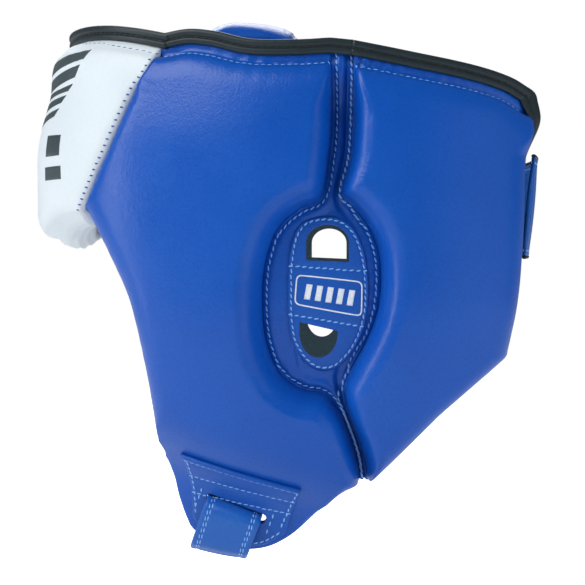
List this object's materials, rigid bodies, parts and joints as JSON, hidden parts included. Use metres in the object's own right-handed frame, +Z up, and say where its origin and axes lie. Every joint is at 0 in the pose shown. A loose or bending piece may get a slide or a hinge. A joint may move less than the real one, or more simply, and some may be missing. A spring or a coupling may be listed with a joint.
{
  "type": "boxing headgear",
  "caption": "Open-face padded headgear: brow pad, cheek and ear panels, folding rear wings, rear strap, crown pad and chin strap.",
  "frame": {"origin": "midway between the two ear windows, in the head's middle plane", "axes": "+Z up, towards the crown; -Y the wearer's front; +X the wearer's left"},
  "size_m": [0.1954, 0.2387, 0.2482],
  "materials": {
    "blue_leather": "fine grained satin synthetic leather",
    "patch_leather": "fine grained satin synthetic leather, stitched on",
    "white_leather": "fine grained satin synthetic leather",
    "binding_tape": "smooth black piping",
    "lining_cloth": "brushed lining",
    "foam": "closed-cell foam",
    "strap_leather": "flat strap with twin stitching",
    "hook_and_loop": "hook and loop tape"
  },
  "bodies": {
    "shell": {"forehead_cover": "white_leather", "forehead_foam": "foam", "forehead_lining": "lining_cloth", "forehead_binding": "binding_tape", "side_cover_left": "blue_leather", "side_cover_right": "blue_leather", "side_foam_left": "foam", "side_foam_right": "foam", "side_lining_left": "lining_cloth", "side_lining_right": "lining_cloth", "ear_panel_left": "blue_leather", "ear_panel_right": "blue_leather", "ear_lining_left": "lining_cloth", "ear_lining_right": "lining_cloth", "ear_patch_left": "patch_leather", "ear_patch_right": "patch_leather", "chin_patch_left": "patch_leather", "chin_patch_right": "patch_leather", "rim_binding_left": "binding_tape", "rim_binding_right": "binding_tape", "crown_tab": "strap_leather", "crown_loop_tape": "hook_and_loop", "chin_strap": "strap_leather", "chin_loop_tape": "hook_and_loop"},
    "wing_left": {"wing_cover_left": "blue_leather", "wing_foam_left": "foam", "wing_lining_left": "lining_cloth", "wing_binding_left": "binding_tape", "rear_binding_left": "binding_tape"},
    "wing_right": {"wing_cover_right": "blue_leather", "wing_foam_right": "foam", "wing_lining_right": "lining_cloth", "wing_binding_right": "binding_tape", "rear_binding_right": "binding_tape", "rear_loop_patch_right": "hook_and_loop"},
    "rear_strap": {"rear_strap": "strap_leather", "rear_hook_patch_right": "hook_and_loop"},
    "crown_flap": {"crown_cover": "blue_leather", "crown_foam": "foam", "crown_lining": "lining_cloth", "crown_hook_tape": "hook_and_loop"},
    "chin_tail": {"chin_strap_tail": "strap_leather", "chin_hook_tape": "hook_and_loop"}
  },
  "joints": [
    {"name": "wing_left_swing", "type": "hinge", "parent": "shell", "child": "wing_left", "pos_m": [0.082, 0.009, 0.06], "axis": [0, 0.027, -0.9996], "range_deg": [0, 30]},
    {"name": "wing_right_swing", "type": "hinge", "parent": "shell", "child": "wing_right", "pos_m": [-0.082, 0.009, 0.06], "axis": [0, -0.027, 0.9996], "range_deg": [0, 30]},
    {"name": "rear_strap_peel", "type": "hinge", "parent": "wing_left", "child": "rear_strap", "pos_m": [0.0525, 0.0965, 0.039], "axis": [0, 0, -1], "range_deg": [0, 96]},
    {"name": "crown_lift", "type": "hinge", "parent": "shell", "child": "crown_flap", "pos_m": [0.066, -0.031, 0.114], "axis": [0, 1, 0], "range_deg": [0, 80]},
    {"name": "chin_tail_peel", "type": "hinge", "parent": "shell", "child": "chin_tail", "pos_m": [0.0565, -0.0443, -0.1145], "axis": [0, -0.9407, 0.3391], "range_deg": [0, 90]}
  ],
  "couplings": [
    {"joint": "wing_right_swing", "follows": "wing_left_swing", "ratio": 1},
    {"joint": "rear_strap_peel", "follows": "wing_left_swing", "ratio": 3.2}
  ]
}
